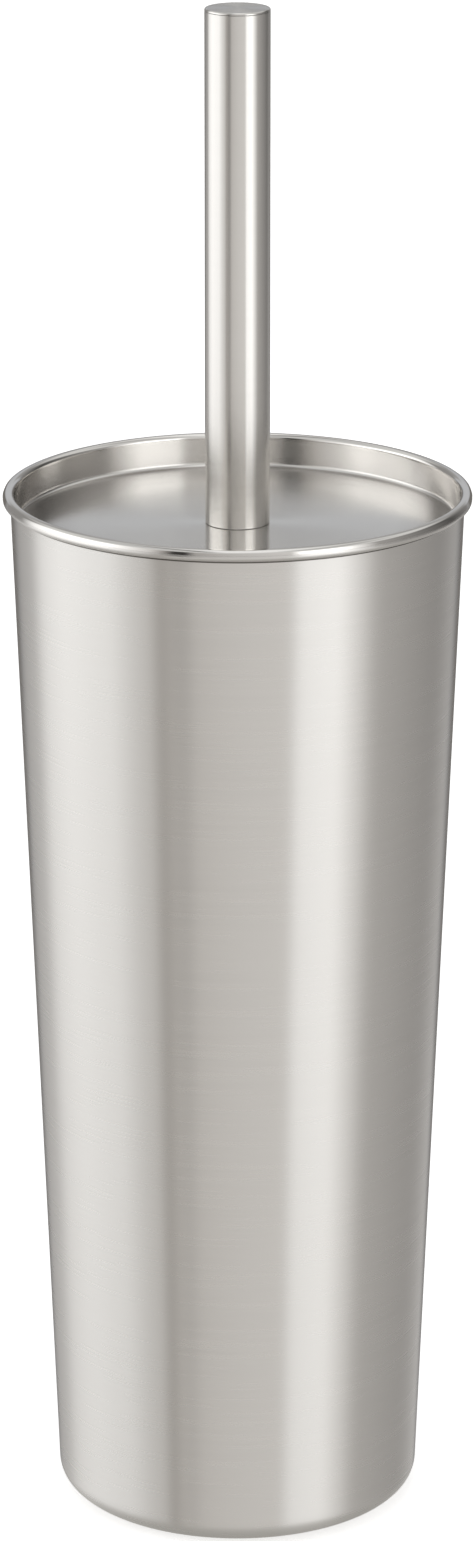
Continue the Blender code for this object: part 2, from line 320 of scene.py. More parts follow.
class Tree:
    """The nodes of one material, or of the studio round the object."""

    def __init__(self, owner):
        owner.use_nodes = True
        self.nodes = owner.node_tree.nodes
        self.links = owner.node_tree.links
        self.nodes.clear()

    def node(self, kind, settings=None, inputs=None, output=0):
        """Adds a node: its settings and ramp stops first, then its inputs; returns one output."""
        made = self.nodes.new(kind)
        settings = dict(settings or {})
        stops = settings.pop("stops", None)
        for name, value in settings.items():
            setattr(made, name, value)
        if stops:
            ramp = made.color_ramp.elements
            ramp[0].position, ramp[0].color = stops[0]
            ramp[1].position, ramp[1].color = stops[-1]
            for position, colour in stops[1:-1]:
                ramp.new(position).color = colour
        for name, value in (inputs or {}).items():
            if isinstance(value, Signal):
                self.links.new(value.socket, made.inputs[name])
            else:
                made.inputs[name].default_value = value
        return Signal(self, made.outputs[output]) if len(made.outputs) else made

    def parts(self, vector):
        """The three numbers of a vector."""
        x = self.node("ShaderNodeSeparateXYZ", None, {0: vector}, "X")
        node = x.socket.node
        return x, Signal(self, node.outputs["Y"]), Signal(self, node.outputs["Z"])

    def vector(self, x, y, z):
        """A vector from three numbers."""
        return self.node("ShaderNodeCombineXYZ", None, {"X": x, "Y": y, "Z": z})

    def noise(self, where, scale, detail=2.0, roughness=0.5):
        """Smooth noise about 0.5, at a number of features to the metre."""
        inputs = {"Vector": where, "Scale": scale, "Detail": detail, "Roughness": roughness}
        return self.node("ShaderNodeTexNoise", None, inputs, "Fac")

    def between(self, value, low, high):
        """0 below low, 1 above high and an even slope between them."""
        inputs = {"Value": value, "From Min": low, "From Max": high}
        return self.node("ShaderNodeMapRange", None, inputs, "Result")

    def blend(self, factor, first, second):
        """A colour between two colours."""
        settings = {"data_type": "RGBA"}
        return self.node("ShaderNodeMix", settings, {0: factor, 6: first, 7: second}, 2)


def finish_of(name, colour, roughness, height=None, metallic=0.0, **fixed):
    """A material from one Principled shader. colour, roughness and height are built by functions of
    the tree; height is in metres and goes through Bump; fixed holds sockets that never vary."""
    made = bpy.data.materials.new(name)
    tree = Tree(made)
    inputs = {"Base Color": colour(tree), "Roughness": roughness(tree), "Metallic": metallic}
    if height:
        bump = {"Height": height(tree), "Distance": 1.0}
        inputs["Normal"] = tree.node("ShaderNodeBump", None, bump)
    inputs.update({key.replace("_", " "): value for key, value in fixed.items()})
    shader = tree.node("ShaderNodeBsdfPrincipled", None, inputs, "BSDF")
    tree.node("ShaderNodeOutputMaterial", None, {"Surface": shader})
    return made


print("shader helper ready")

# %% [markdown]
# ## Brushed steel
#
# The canister is turned against an abrasive belt, which leaves thousands of hair lines round it. A
# line scatters light across itself and hardly along itself, so a lamp's reflection is drawn out up
# and down the wall and stays narrow from side to side: that is why the wall shows upright stripes.
# Drawing each line would need a huge mesh, so the shader's anisotropy spreads the light instead,
# turned by a quarter so that it spreads along the outline. Only the coarsest lines are drawn, as
# noise that is long round the axis and short along the outline. Two places get painted shade in
# their colour by their position: a dark line of painted shadow in the crease under the rim, and a
# darker border of painted shade on the lid's floor next to its corner.

# %% Brushed steel finishes
STEEL_COLOUR = (0.815, 0.798, 0.770, 1.0)
STEEL_SHADE = (0.800, 0.783, 0.755, 1.0)
# painted shadow: the dark line in the crease under the rim
CREASE_SHADOW_COLOUR = (0.16, 0.15, 0.14, 1.0)
# painted shade: the darker border of the lid's floor next to its corner
CORNER_SHADE_COLOUR = (0.55, 0.53, 0.51, 1.0)
CORNER_FADE = 0.0002           # height over which a floor's border ends, up the corner
LINE_ROUGHNESS = 0.06          # how much the hair lines vary the roughness
POLISH_FADE = 0.0004           # height over which an edge turns bright
POLISH_SHARE = 0.6             # part of the roughness that polishing takes away
CREASE_FADE = 0.00006
FLOOR_SHADE_WIDTH = 0.014           # width of the lid floor's darker border


def hairlines(tree, per_metre, detail, per_radian):
    """Noise at (cos a, sin a) times a small number and the distance along the outline times a large
    one, so that a feature is long round the axis and thin across."""
    x, y, _ = tree.parts(tree.node("ShaderNodeTexCoord", None, None, "Object"))
    radius = (x * x + y * y) ** 0.5
    run = tree.node("ShaderNodeAttribute", {"attribute_name": "run"}, None, "Fac")
    where = tree.vector(x / radius * per_radian, y / radius * per_radian, run * per_metre)
    return tree.noise(where, 1.0, detail, 0.6)


def height_mask(tree, low, high):
    """0 at and below one height and 1 at and above another; the other way round if they swap."""
    z = tree.parts(tree.node("ShaderNodeTexCoord", None, None, "Object"))[2]
    return tree.between(z, low, high)


def corner_shade_mask(tree, radius, width, top):
    """Where a floor's painted shade lies by its corner: 1 at a radius and 0 the given width
    further in, only below a height.
    """
    x, y, z = tree.parts(tree.node("ShaderNodeTexCoord", None, None, "Object"))
    near = tree.between((x * x + y * y) ** 0.5, radius - width, radius)
    return near * tree.between(z, top + CORNER_FADE, top)


def brushed(name, gloss, spread, lines, per_radian=1.6, depth=0.2e-6, crease=None, polish=None,
            corner=None):
    """Steel with hair lines round the axis. gloss is the shader's roughness, spread its anisotropy,
    lines the number of coarse lines to the metre and depth the height of their bump. crease gives
    the heights between which a painted shadow darkens the metal, and the fade; polish the height
    over which an edge is rubbed bright; corner the radius, width and height of a floor's border of
    painted shade."""

    def colour(tree):
        steel = tree.blend(hairlines(tree, lines * 0.4, 4.0, per_radian), STEEL_SHADE, STEEL_COLOUR)
        # painted shade on the floor's border by its corner
        if corner is not None:
            steel = tree.blend(corner_shade_mask(tree, *corner), steel, CORNER_SHADE_COLOUR)
        if crease is None:
            return steel
        # painted shadow in the crease under the rim
        low, high, soft = crease
        inside = height_mask(tree, low - soft, low) * height_mask(tree, high + soft, high)
        return tree.blend(inside, steel, CREASE_SHADOW_COLOUR)

    def roughness(tree):
        rough = (hairlines(tree, lines, 3.0, per_radian) * LINE_ROUGHNESS
                 + (gloss - LINE_ROUGHNESS / 2))
        if polish is None:
            return rough
        return rough - height_mask(tree, polish - POLISH_FADE, polish) * gloss * POLISH_SHARE

    return finish_of(name, colour, roughness,
                     lambda tree: hairlines(tree, lines * 2.5, 2.0, per_radian) * depth,
                     metallic=1.0, Anisotropic=spread, Anisotropic_Rotation=0.25)


# height of the painted shadow line under the rim
crease_shadow_z = BEAD_Z - BEAD_RADIUS * 1.25
wall_steel = brushed("brushed_wall_steel", 0.28, 0.97, 900.0,
                     crease=(crease_shadow_z - 0.00030, crease_shadow_z + 0.00025, CREASE_FADE))
# the lid's floor gets a border of painted shade next to its corner
lid_steel = brushed("brushed_lid_steel", 0.20, 0.90, 700.0, 2.0, 0.6e-6, polish=LIP_TOP_Z - 0.0012,
                    corner=(wall_radius(LID_FLOOR_Z) - 0.003, FLOOR_SHADE_WIDTH, LID_FLOOR_Z + 0.0001))
handle_steel = brushed("brushed_handle_steel", 0.22, 0.95, 1100.0, 0.6, 0.4e-6)
stem_steel = brushed("brushed_stem_steel", 0.25, 0.90, 1100.0, 0.6, 0.4e-6)
print("brushed steel finishes:", [steel.name for steel in (wall_steel, lid_steel, handle_steel,
                                                           stem_steel)])

# %% [markdown]
# ## Plated steel, rubber and plastics
#
# The small hardware is zinc plated: bright, slightly clouded and cooler than stainless steel. The
# washer and the foot are rubber, dull with a fine grain. The cup and the core are moulded plastics:
# their colour is even, but the mould leaves a faint orange peel that breaks up the reflections. All
# four are one Principled shader each, told apart by how their noise is scaled.

# %% Other finishes


def clouded(low, high, per_metre, detail=3.0):
    """A function of the tree: noise in place, spread from low to high; both numbers or colours."""
    def build(tree):
        where = tree.node("ShaderNodeTexCoord", None, None, "Object")
        cloud = tree.noise(where, per_metre, detail)
        if isinstance(low, tuple):
            return tree.blend(tree.between(cloud, 0.3, 0.7), low, high)
        return tree.between(cloud, 0.3, 0.7) * (high - low) + low
    return build


plated_steel = finish_of(
    "plated_steel", clouded((0.60, 0.62, 0.64, 1), (0.72, 0.74, 0.76, 1), 500.0),
    clouded(0.20, 0.34, 900.0), clouded(0.0, 0.000004, 2500.0), metallic=1.0)
black_rubber = finish_of(
    "black_rubber", clouded((0.020, 0.020, 0.021, 1), (0.040, 0.040, 0.041, 1), 1500.0),
    clouded(0.62, 0.80, 2500.0), clouded(0.0, 0.00003, 4000.0))
cup_plastic = finish_of(
    "grey_plastic", clouded((0.400, 0.410, 0.420, 1), (0.440, 0.450, 0.460, 1), 60.0),
    clouded(0.38, 0.50, 700.0), clouded(0.0, 0.000012, 1300.0))
core_plastic = finish_of(
    "white_plastic", clouded((0.780, 0.785, 0.775, 1), (0.830, 0.830, 0.815, 1), 90.0),
    clouded(0.34, 0.46, 900.0), clouded(0.0, 0.000010, 1500.0))
nylon = finish_of(
    "white_nylon", clouded((0.800, 0.815, 0.805, 1), (0.880, 0.890, 0.880, 1), 250.0),
    clouded(0.40, 0.58, 2500.0), clouded(0.0, 0.000006, 6000.0))
print("finishes made:", len(bpy.data.materials))

# %% [markdown]
# ## Canister
#
# The wall is rolled from sheet, welded, ground flush and drawn in at the bottom. At the mouth the
# sheet curls outwards and down until its edge nearly touches the wall, which hides the raw edge
# and stiffens the rim. The curl is modelled as it is made, as one sheet with two faces: the wall's
# inner face becomes the outside of the curl. Its shadow line against the wall comes partly from
# this shape and partly from a painted shadow in the wall steel's colour.

# %% Canister
CURL_END = -125                # degrees round the bead at which the sheet's edge stops
bead_middle = (wall_radius(BEAD_Z) - SHEET + BEAD_RADIUS, BEAD_Z)
recess_radius = BASE_RADIUS - BASE_CORNER - BASE_LAND
curl_inside = arc(bead_middle, BEAD_RADIUS - SHEET, CURL_END, 180, 40)
wall_outside = rounded([
    (*curl_inside[-1], 0.0),
    (wall_radius(BASE_Z), BASE_Z, BASE_CORNER),
    (recess_radius, BASE_Z, 0.0008),
    (recess_radius - BASE_RECESS, BASE_Z + BASE_RECESS, 0.0008),
    (0.0, BASE_Z + BASE_RECESS, 0.0)], steps=12)
outer_face = np.concatenate([curl_inside[:-1], wall_outside])
inner_face = moved_in(outer_face, SHEET)
inner_face[-1] = (0.0, BASE_Z + BASE_RECESS + SHEET)
canister_path = np.concatenate([inner_face[::-1], outer_face])
canister = turned("canister", canister_path, wall_steel, FINE_ROUND)
fit(canister, "holder", "brushed_steel", "canister_shell")

# %% [markdown]
# ## Lid
#
# The lid is pressed from the same sheet. Its lip lies over the rim and comes down onto its outer
# side, where it ends in a thin edge. A short wall drops inside the mouth, and a small round leads
# into the flat floor. It is again one sheet with two faces, with a hole in the middle for the
# stud, which the handle covers. The underside's distance from the bead's middle eases from the
# CAD's clearance down to almost nothing, because an air gap at the edge would show as a dark line.

# %% Lid
LIP_END = 25                   # degrees round the bead at which the lip stops
LIP_EASE = 80                  # degrees over which its underside comes down onto the bead
LIP_EDGE = 0.00010             # thickness left at its end
LIP_SEAT = 0.00003             # air left under its end
LIP_SLOPE = radians(6)         # fall of the lip's flat, outwards
LIP_CREST = 0.0005             # the lip's highest place, inwards of the bead's middle
LIP_SHOULDER = 0.0007          # the turn down to its edge, outwards of the bead's middle
SHOULDER_ROUND = 0.0010
MOUTH_ROUND = 0.0012           # round from the lip into the dish

lip_angle = np.radians(np.linspace(LIP_END, 180, 64))
lip_way = np.stack([np.cos(lip_angle), np.sin(lip_angle)], axis=1)
lip_share = np.clip((np.degrees(lip_angle) - LIP_END) / LIP_EASE, 0.0, 1.0)
lip_reach = BEAD_RADIUS + LIP_SEAT + (GAP - LIP_SEAT) * ((1 - np.cos(pi * lip_share)) / 2)
lip_under = np.array(bead_middle) + lip_reach[:, None] * lip_way
dish_wall_radius = wall_radius(LID_FLOOR_Z) - SHEET - GAP
under_face = np.concatenate([lip_under[:-1], rounded([
    (*lip_under[-1], 0.0),
    (dish_wall_radius, LID_UNDER_Z, LID_FILLET + SHEET),
    (BORE_RADIUS, LID_UNDER_Z, 0.0)], steps=12)])

end_reach = BEAD_RADIUS + LIP_SEAT + LIP_EDGE
inside = bead_middle[0] - BEAD_RADIUS - GAP - SHEET
crest = bead_middle[0] - LIP_CREST
shoulder = bead_middle[0] + LIP_SHOULDER
lip_tip = (bead_middle[0] + end_reach * cos(radians(LIP_END)),
           BEAD_Z + end_reach * sin(radians(LIP_END)))
top_face = rounded([
    (*lip_tip, 0.0),
    (shoulder, LIP_TOP_Z - (shoulder - crest) * tan(LIP_SLOPE), SHOULDER_ROUND),
    (inside, LIP_TOP_Z + (crest - inside) * tan(LIP_SLOPE), MOUTH_ROUND),
    (dish_wall_radius - SHEET, LID_FLOOR_Z, LID_FILLET),
    (BORE_RADIUS, LID_FLOOR_Z, 0.0)], steps=16)
lid = turned("lid", np.concatenate([under_face, top_face[::-1]]), lid_steel, FINE_ROUND)
over_lip = (top_face[:, 1].max() - LIP_TOP_Z) * 1e6
print(f"lid's top face reaches {over_lip:.1f} micrometres over the CAD lip")
fit(lid, "brush", "brushed_steel", "lid_dish")

# %% [markdown]
# ## Handle
#
# The handle is a plain round tube. A turned cap with a rounded edge is pressed into its top, and
# only a hair line shows between the two. The CAD leaves a wider gap for clearance, so both pieces
# reach a little further here, as the tube does at its foot where it stands on the lid.

# %% Handle
SEAM = 0.00008
tube_top = HANDLE_TUBE_TOP_Z + GAP - SEAM
tube_foot = LID_FLOOR_Z + SEAM
tube_inside = HANDLE_RADIUS - TUBE_WALL
soft_edge = 0.00012
handle_path = rounded([
    (tube_inside, (tube_top + tube_foot) / 2, 0.0),
    (tube_inside, tube_top, soft_edge),
    (HANDLE_RADIUS, tube_top, soft_edge),
    (HANDLE_RADIUS, tube_foot, soft_edge),
    (tube_inside, tube_foot, soft_edge),
    (tube_inside, (tube_top + tube_foot) / 2, 0.0)])
handle = turned("handle", handle_path[:-1], handle_steel)
fit(handle, "brush", "brushed_steel", "handle_tube")

cap_low, cap_high, cap_radius = span("handle_cap")
CAP_ROUND = 0.00046
cap_seat = HANDLE_TUBE_TOP_Z + GAP
cap_path = rounded([
    (0.0, cap_low, 0.0),
    (tube_inside - GAP, cap_low, 0.0004),
    (tube_inside - GAP, cap_seat, 0.0),
    (cap_radius, cap_seat, 0.00004),
    (cap_radius, cap_high, CAP_ROUND),
    (0.0, cap_high, 0.0)])[::-1]
cap = turned("handle_top", cap_path, handle_steel)
fit(cap, "brush", "brushed_steel", "handle_cap")

# %% [markdown]
# ## Rings and discs
#
# Washers, the foot and the stem are all rings or discs with softened edges, so one helper makes
# their outline from four corners.

# %% Foot, washers and stem


def ring_path(inner, outer, low, high, edge):
    """A ring's closed outline: up the bore, out over the top, down and back, corners rounded."""
    middle = (low + high) / 2
    corners = [(inner, middle, 0.0), (inner, high, edge), (outer, high, edge),
               (outer, low, edge), (inner, low, edge), (inner, middle, 0.0)]
    return rounded(corners, 4)[:-1]


def disc_path(outer, low, high, edge):
    """A disc's outline from the axis below to the axis above, turned to run down the outer side."""
    return rounded([(0.0, high, 0.0), (outer, high, edge), (outer, low, edge), (0.0, low, 0.0)], 4)


def fit_ring(name, node, inner, edge, finish, slot, body="brush"):
    """A turned ring in a CAD node's place, with the node's heights and outer radius."""
    low, high, outer = span(node)
    return fit(turned(name, ring_path(inner, outer, low, high, edge), finish), body, slot, node)


low, high, outer = span("foot_pad")
foot = turned("foot", disc_path(outer, low, high, 0.0003), black_rubber, FINE_ROUND)
fit(foot, "holder", "black_rubber", "foot_pad")
fit_ring("seal_washer", "lid_washer", BORE_RADIUS, 0.0003, black_rubber, "black_rubber")
fit_ring("steel_washer", "backing_washer", BORE_RADIUS, 0.0002, plated_steel, "plated_steel")
stem_radius = span("stem_tube")[2]
fit_ring("stem", "stem_tube", stem_radius - TUBE_WALL, 0.0002, stem_steel, "brushed_steel")

# %% [markdown]
# ## Drip cup
#
# A moulded cup stands inside and catches the drips. It has a little draft so that it leaves its
# mould, a round corner, and a lip to lift it by.

# %% Drip cup
CUP_WALL = 0.0012
CUP_DRAFT = 0.0010
CUP_LIP = 0.0016
CUP_CORNER = 0.0050
cup_low, cup_high, cup_lip = span("drip_cup")
cup_top = cup_lip - CUP_LIP
cup_foot = cup_top - CUP_DRAFT
cup_path = rounded([
    (0.0, cup_low + CUP_WALL, 0.0),
    (cup_foot - CUP_WALL, cup_low + CUP_WALL, CUP_CORNER - CUP_WALL),
    (cup_top - CUP_WALL, cup_high, 0.0006),
    (cup_lip, cup_high, 0.0005),
    (cup_lip, cup_high - CUP_WALL, 0.0005),
    (cup_top, cup_high - CUP_WALL, 0.0008),
    (cup_foot, cup_low, CUP_CORNER),
    (0.0, cup_low, 0.0)], steps=8)
cup = turned("cup", cup_path, cup_plastic, FINE_ROUND)
fit(cup, "cup", "grey_plastic", "drip_cup")

# %% [markdown]
# ## Threads and the nut
#
# A thread is a ridge that climbs as it goes round. On a grid of angle and height, the radius
# depends on how far each point is from the nearest crest, so the whole helix is one array. The nut
# is a grid too: its radius is the smaller of a hexagon's and a cone's, which gives the curved
# edges that a chamfered nut has. Its bore is plain, because the stud hides it.

# %% Threaded pieces and nut
PITCH = 0.00125
THREAD_DEPTH = 0.00058
THREAD_ROWS = 10               # rows to one turn of the thread
NUT_WALL = 0.0022


def grid_piece(name, radius, height, finish, body, slot, *nodes, bored=False):
    """Rows of points at (radius cos a, radius sin a, height); rows run down, and radius is an array
    of rows by angles. A fan at the axis closes it above and below, or, if it is bored, the last row
    joins the first up the wall of the bore."""
    rows, around = radius.shape
    angle = np.linspace(0.0, 2 * pi, around, endpoint=False)
    high = np.broadcast_to(height[:, None], radius.shape)
    grid = np.stack([radius * np.cos(angle), radius * np.sin(angle), high], axis=2).reshape(-1, 3)
    number = np.arange(rows * around).reshape(rows, around)
    if bored:
        number = np.concatenate([number, number[:1]])
    ahead = np.roll(number, -1, axis=1)
    quads = np.stack([number[:-1], number[1:], ahead[1:], ahead[:-1]], axis=2)
    faces = quads.reshape(-1, 4).tolist()
    if bored:
        return fit(mesh_piece(name, grid, faces, finish), body, slot, *nodes)
    points = np.concatenate([grid, [[0, 0, height[0]], [0, 0, height[-1]]]])
    top = np.full(around, rows * around)
    faces += np.stack([top, number[0], ahead[0]], axis=1).tolist()
    faces += np.stack([top + 1, ahead[-1], number[-1]], axis=1).tolist()
    return fit(mesh_piece(name, points, faces, finish), body, slot, *nodes)


def threaded_rows(crest, low, high, around=48):
    """Radii and heights of a thread: crest minus depth times the distance from the crest, where the
    crest climbs one pitch a turn; it fades out over half a pitch at both ends."""
    count = int((high - low) / PITCH * THREAD_ROWS)
    height = np.linspace(high, low, count)
    turn = np.arange(around) / around
    phase = (height[:, None] / PITCH - turn[None]) % 1.0
    ridge = np.abs(phase - 0.5) * 2.0
    end = np.clip(np.minimum(high - height, height - low) / (PITCH * 0.5), 0.0, 1.0)[:, None]
    return crest - THREAD_DEPTH * (1.0 - end * (1.0 - ridge)), height


low, high, _ = span("threaded_stud")
stud_radii, stud_heights = threaded_rows(STUD_RADIUS, low, high)
grid_piece("stud", stud_radii, stud_heights, plated_steel, "brush", "plated_steel", "threaded_stud")

low, high, _ = span("stem_end_screw")
screw_shoulder = span("brush_core")[1] + GAP
thread_radii, thread_heights = threaded_rows(STUD_RADIUS, low, screw_shoulder)
plug = stem_radius - TUBE_WALL - GAP
SHOULDER_THICK = 0.0020
upper = [(high, plug - 0.0003), (high - 0.0003, plug), (screw_shoulder + SHOULDER_THICK, plug),
         (screw_shoulder + SHOULDER_THICK, stem_radius - 0.0002),
         (screw_shoulder + SHOULDER_THICK - 0.0002, stem_radius),
         (screw_shoulder + 0.0002, stem_radius), (screw_shoulder, stem_radius - 0.0002)]
upper_radii = np.repeat([[radius] for _, radius in upper], 48, axis=1)
grid_piece("end_screw", np.concatenate([upper_radii, thread_radii]),
           np.concatenate([[height for height, _ in upper], thread_heights]),
           plated_steel, "brush", "plated_steel", "stem_end_screw")

low, high, _ = span("clamp_nut")
NUT_AROUND = 144
angle = np.linspace(0.0, 2 * pi, NUT_AROUND, endpoint=False)
flat_radius = BORE_RADIUS + NUT_WALL
hexagon = flat_radius / np.cos((angle + pi / 6) % (pi / 3) - pi / 6)
share = np.concatenate([[0.0], np.linspace(0.0, 0.16, 9), [0.5], np.linspace(0.84, 1.0, 9), [1.0]])
nut_heights = high - (high - low) * share
from_end = np.minimum(high - nut_heights, nut_heights - low)[:, None]
cone = flat_radius * 0.97 + from_end * 1.9
nut_radii = np.minimum(hexagon[None], cone)
nut_radii[[0, -1]] = BORE_RADIUS
grid_piece("nut", nut_radii, nut_heights, plated_steel, "brush", "plated_steel", "clamp_nut",
           bored=True)

# %% [markdown]
# ## Brush core
#
# The core is moulded in one piece: a neck with the threaded socket, a thicker body into which the
# tufts are stapled, and a round end.

# %% Brush core
core_low, core_top, core_radius = span("brush_core")
SOCKET_WALL = 0.0042
SOCKET_LENGTH = 0.0140
CORE_SHOULDER = 0.0025
HEAD_SCREW = 0.0140
neck_radius = BORE_RADIUS + SOCKET_WALL
neck_foot = core_top - SOCKET_LENGTH
core_end = core_low + core_radius
core_path = np.concatenate([rounded([
    (0.0, screw_shoulder - HEAD_SCREW - GAP, 0.0),
    (BORE_RADIUS, screw_shoulder - HEAD_SCREW - GAP, 0.0),
    (BORE_RADIUS, core_top, 0.0004),
    (neck_radius, core_top, 0.0006),
    (neck_radius, neck_foot, 0.0012),
    (core_radius, neck_foot - CORE_SHOULDER, 0.0008),
    (core_radius, core_end, 0.0)]), arc((0.0, core_end), core_radius, 0, -90, 16)[1:]])
core_path[-1, 0] = 0.0
core = turned("core", core_path, core_plastic)
fit(core, "head", "white_plastic", "brush_core")

# %% [markdown]
# ## Bristles
#
# A brush head is tufts of nylon bristle, folded in half and stapled into holes round the core.
# Each row is one piece here. A bristle is a thin three-sided rod along a gently crimped line: it
# starts in its tuft's hole, leans a little away from the tuft's middle, and ends where the row was
# trimmed. There are thousands of them, so each one has only two dozen faces, and all of a row's
# bristles are one array of bristles by steps by sides.

# %% Bristle helpers
BRISTLE_THICK = 0.00019        # radius at the root
BRISTLE_STEPS = 8
BRISTLES_IN_TUFT = 34
TUFTS_IN_ROW = 20
TUFT_HOLE = 0.0011
CRIMP = 0.00022
ROOT_DEPTH = 0.0012            # how far a bristle goes into the core
draw = np.random.default_rng(7)


def unit(vectors):
    """Vectors divided by their own lengths."""
    return vectors / np.linalg.norm(vectors, axis=-1, keepdims=True)


def bristle_mesh(name, root, tip, finish):
    """Bristle k's centre line is root + t (tip - root), plus a crimp: CRIMP t sin(2 pi waves t +
    phase) along a side direction. Its ring is three points round that line, a little thinner at the
    tip, and the tip is closed by one triangle."""
    count = len(root)
    along = unit(tip - root)
    side = unit(np.cross(along, draw.normal(size=(count, 3))))
    other = np.cross(along, side)
    t = np.linspace(0.0, 1.0, BRISTLE_STEPS + 1)
    waves = draw.uniform(1.6, 2.3, (count, 1))
    phase = draw.uniform(0.0, 2 * pi, (count, 1))
    crimp = CRIMP * t * np.sin(2 * pi * waves * t + phase)
    middle = (root[:, None] + t[None, :, None] * (tip - root)[:, None]
              + crimp[..., None] * side[:, None])
    turn = np.arange(3) * 2 * pi / 3
    around = (np.cos(turn)[None, :, None] * side[:, None]
              + np.sin(turn)[None, :, None] * other[:, None])
    thick = BRISTLE_THICK * (1.0 - 0.25 * t)
    points = middle[:, :, None] + thick[None, :, None, None] * around[:, None]
    number = np.arange(points[..., 0].size).reshape(count, BRISTLE_STEPS + 1, 3)
    ahead = np.roll(number, -1, axis=2)
    quads = np.stack([number[:, :-1], ahead[:, :-1], ahead[:, 1:], number[:, 1:]], axis=3)
    faces = quads.reshape(-1, 4).tolist() + number[:, -1].tolist() + number[:, 0, ::-1].tolist()
    return mesh_piece(name, points.reshape(-1, 3), faces, finish)


def in_disc(count):
    """Points spread evenly over a disc of radius 1: the square root keeps them from crowding at the
    middle."""
    size = np.sqrt(draw.random(count))
    turn = draw.uniform(0.0, 2 * pi, count)
    return size * np.cos(turn), size * np.sin(turn)


print("bristles in a row:", BRISTLES_IN_TUFT * TUFTS_IN_ROW)

# %% Bristle rows
ROW_COUNT = sum(1 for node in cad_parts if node.startswith("bristle_row_"))


def bristle_row(number):
    """One row: tufts evenly round the core, every second row turned by half a step."""
    low, high, reach = span(f"bristle_row_{number}")
    middle = (low + high) / 2
    spread_up = (high - low) / 2 - BRISTLE_THICK * 2
    turn = (np.arange(TUFTS_IN_ROW) + 0.5 * (number % 2)) * 2 * pi / TUFTS_IN_ROW
    turn = np.repeat(turn, BRISTLES_IN_TUFT)
    outward = np.stack([np.cos(turn), np.sin(turn), np.zeros_like(turn)], axis=1)
    sideways = np.stack([-np.sin(turn), np.cos(turn), np.zeros_like(turn)], axis=1)
    upward = np.array([0.0, 0.0, 1.0])
    u, v = in_disc(len(turn))
    base = middle * upward + (core_radius - ROOT_DEPTH) * outward
    root = base + (u * TUFT_HOLE)[:, None] * sideways + (v * TUFT_HOLE)[:, None] * upward
    spread_side = pi * reach / TUFTS_IN_ROW * 0.92
    trim = reach * draw.uniform(0.975, 0.996, len(turn))
    swing = u * spread_side / reach
    away = np.cos(swing)[:, None] * outward + np.sin(swing)[:, None] * sideways
    tip = trim[:, None] * away + (middle + v * spread_up)[:, None] * upward
    tip[:, :2] *= np.minimum(1.0, (reach - BRISTLE_THICK) / np.hypot(tip[:, 0], tip[:, 1]))[:, None]
    piece = bristle_mesh(f"bristles_{number}", root, tip, nylon)
    return fit(piece, "head", "white_nylon", f"bristle_row_{number}")


for number in range(1, ROW_COUNT + 1):
    bristle_row(number)

# %% [markdown]
# The end of the brush carries tufts that fan out over the round end of the core. They are set in
# rings, each at its own angle down from level, and they are trimmed to a flattened dome.

# %% Bristle tip
# degrees down from level, degrees of fan, number of tufts
TIP_RINGS = ((88, 10, 1), (66, 10, 6), (44, 10, 11), (24, 10, 15), (8.5, 6.5, 18))
tip_low, _, tip_reach = span("bristle_tip")
tip_roots = []
tip_ends = []
for down, fan, tufts in TIP_RINGS:
    turn = np.repeat((np.arange(tufts) + 0.5) * 2 * pi / tufts, BRISTLES_IN_TUFT)
    u, v = in_disc(len(turn))
    lean = np.radians(down) + v * radians(fan)
    swing = turn + u * radians(10) / max(cos(radians(down)), 0.15)
    way = np.stack([np.cos(lean) * np.cos(swing), np.cos(lean) * np.sin(swing), -np.sin(lean)],
                   axis=1)
    drop = core_end - tip_low
    reach = 1.0 / np.sqrt((np.cos(lean) / tip_reach) ** 2 + (np.sin(lean) / drop) ** 2)
    reach *= draw.uniform(0.965, 0.99, len(turn))
    start = np.radians(down) + v * radians(3.5)
    from_way = np.stack([np.cos(start) * np.cos(turn), np.cos(start) * np.sin(turn),
                         -np.sin(start)], axis=1)
    middle = np.array([0.0, 0.0, core_end])
    tip_roots.append(middle + (core_radius - ROOT_DEPTH) * from_way)
    tip_ends.append(middle + reach[:, None] * way)
tip_piece = bristle_mesh("bristles_tip", np.concatenate(tip_roots), np.concatenate(tip_ends), nylon)
fit(tip_piece, "head", "white_nylon", "bristle_tip")

# %% [markdown]
# ## Pieces that the CAD already shows well
#
# The two threaded inserts are hidden inside the tubes. Their CAD shapes are right, so they stay and
# only get the plated finish.

# %% Carried-over CAD nodes
for node in ("handle_insert", "stem_insert"):
    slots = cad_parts[node].material_slots
    for slot in slots:
        slot.material = plated_steel
    print(node, "has", slots[0].material.name)

# %% [markdown]
# ## Studio
#
# Polished metal shows its surroundings, so the surroundings are half of the picture. The studio is
# a wide lit panel on the left, a narrower one on the right with a crisp edge, a grey room on the
# camera's side, and a dark far right. It is worked out as two rings of brightness round the
# object, one at the lid's height and a softer one below it, with a pale cove over them. Straight
# overhead hangs a strip whose brightness changes from left to right, which draws the bright line
# along the rim. Behind the object stands a grey backdrop with the dark edge of a table at its
# foot. The floor is plain white card. Like a lamp that is kept out of the picture, it is left out
# of the steel's reflections, because a card this close would wash out the dark stripes.

# %% Studio surroundings
BRIGHT = (1.00, 1.00, 1.00)
WARM = (1.00, 0.93, 0.87)
